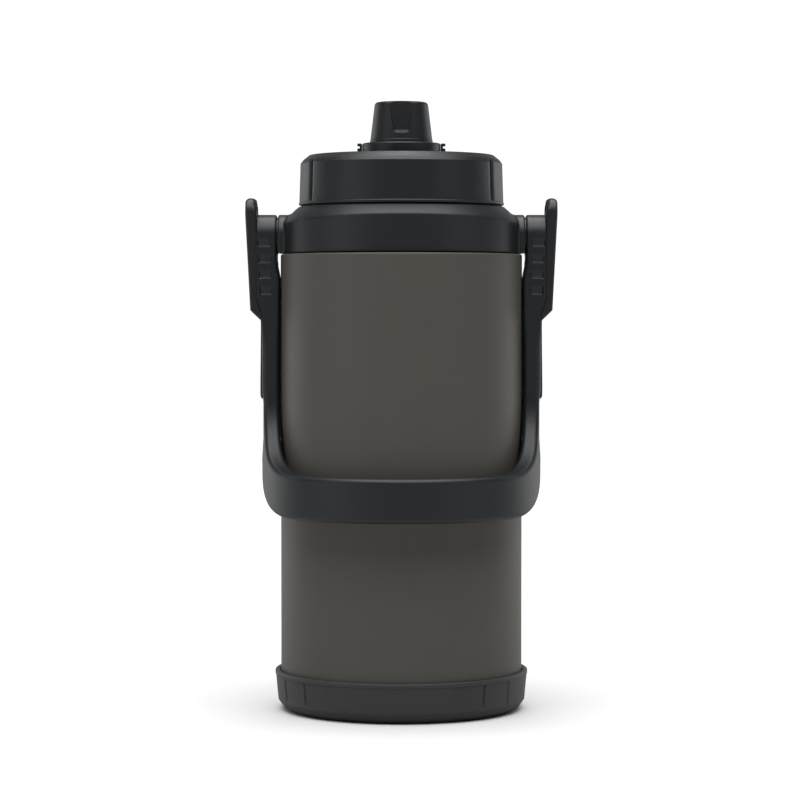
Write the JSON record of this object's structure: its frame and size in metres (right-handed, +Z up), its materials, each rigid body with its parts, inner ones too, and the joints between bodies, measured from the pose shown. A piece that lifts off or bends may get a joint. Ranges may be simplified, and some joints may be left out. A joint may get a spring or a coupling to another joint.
{
  "type": "insulated growler",
  "caption": "Insulated drinks jug with a moulded collar and boot, a hooked swing handle, a screw lid and a screw cap over its spout.",
  "frame": {"origin": "on the vessel's axis at the underside of the boot", "axes": "+Z up the vessel's axis, -Y to the front where the handle's grip hangs, +X to the right when seen from the front"},
  "size_m": [0.1596, 0.145, 0.3119],
  "materials": {
    "body_paint": "satin powder coat, warm dark grey",
    "steel": "brushed",
    "black_plastic": "fine texture",
    "boot_plastic": "fine texture",
    "washer_plastic": "smooth",
    "seal_rubber": "matt",
    "brass": "knurled",
    "foam": "open"
  },
  "bodies": {
    "bottle": {"outer_shell": "body_paint", "outer_bottom_pan": "steel", "vacuum_seal_disc": "steel", "vacuum_getter": "steel", "inner_liner": "steel", "base_boot": "boot_plastic", "neck_collar": "black_plastic", "collar_lock_ring": "steel", "pivot_insert_left": "brass", "pivot_insert_right": "brass", "pivot_screw_left": "steel", "pivot_screw_right": "steel", "pivot_washer_left": "washer_plastic", "pivot_washer_right": "washer_plastic"},
    "handle": {"handle_bail": "black_plastic", "strap_lug_left": "black_plastic", "strap_lug_right": "black_plastic", "strap_lug_screws": "steel"},
    "lid_seal": {"lid_gasket": "seal_rubber"},
    "lid": {"lid_shell": "black_plastic", "lid_plug": "black_plastic", "lid_foam": "foam", "spout_tube": "black_plastic", "spout_nut": "black_plastic", "spout_gasket": "seal_rubber"},
    "cap_seal": {"cap_gasket": "seal_rubber"},
    "cap": {"cap_shell": "black_plastic", "cap_insert": "black_plastic"}
  },
  "joints": [
    {"name": "handle_swing", "type": "hinge", "parent": "bottle", "child": "handle", "pos_m": [0, 0, 0.2433], "axis": [-1, 0, 0], "range_deg": [0, 300]},
    {"name": "lid_lift", "type": "slide", "parent": "bottle", "child": "lid_seal", "axis": [0, 0, 1], "range_m": [0, 0.0281]},
    {"name": "lid_turn", "type": "hinge", "parent": "lid_seal", "child": "lid", "pos_m": [0, 0, 0.2591], "axis": [0, 0, 1], "range_deg": [0, 1260]},
    {"name": "cap_lift", "type": "slide", "parent": "lid", "child": "cap_seal", "axis": [0, 0, 1], "range_m": [0, 0.0176]},
    {"name": "cap_turn", "type": "hinge", "parent": "cap_seal", "child": "cap", "pos_m": [0, 0, 0.2911], "axis": [0, 0, 1], "range_deg": [0, 1260]}
  ],
  "couplings": [
    {"joint": "lid_lift", "follows": "lid_turn", "m_per_rad": 0.0012732},
    {"joint": "cap_lift", "follows": "cap_turn", "m_per_rad": 0.00079577}
  ]
}
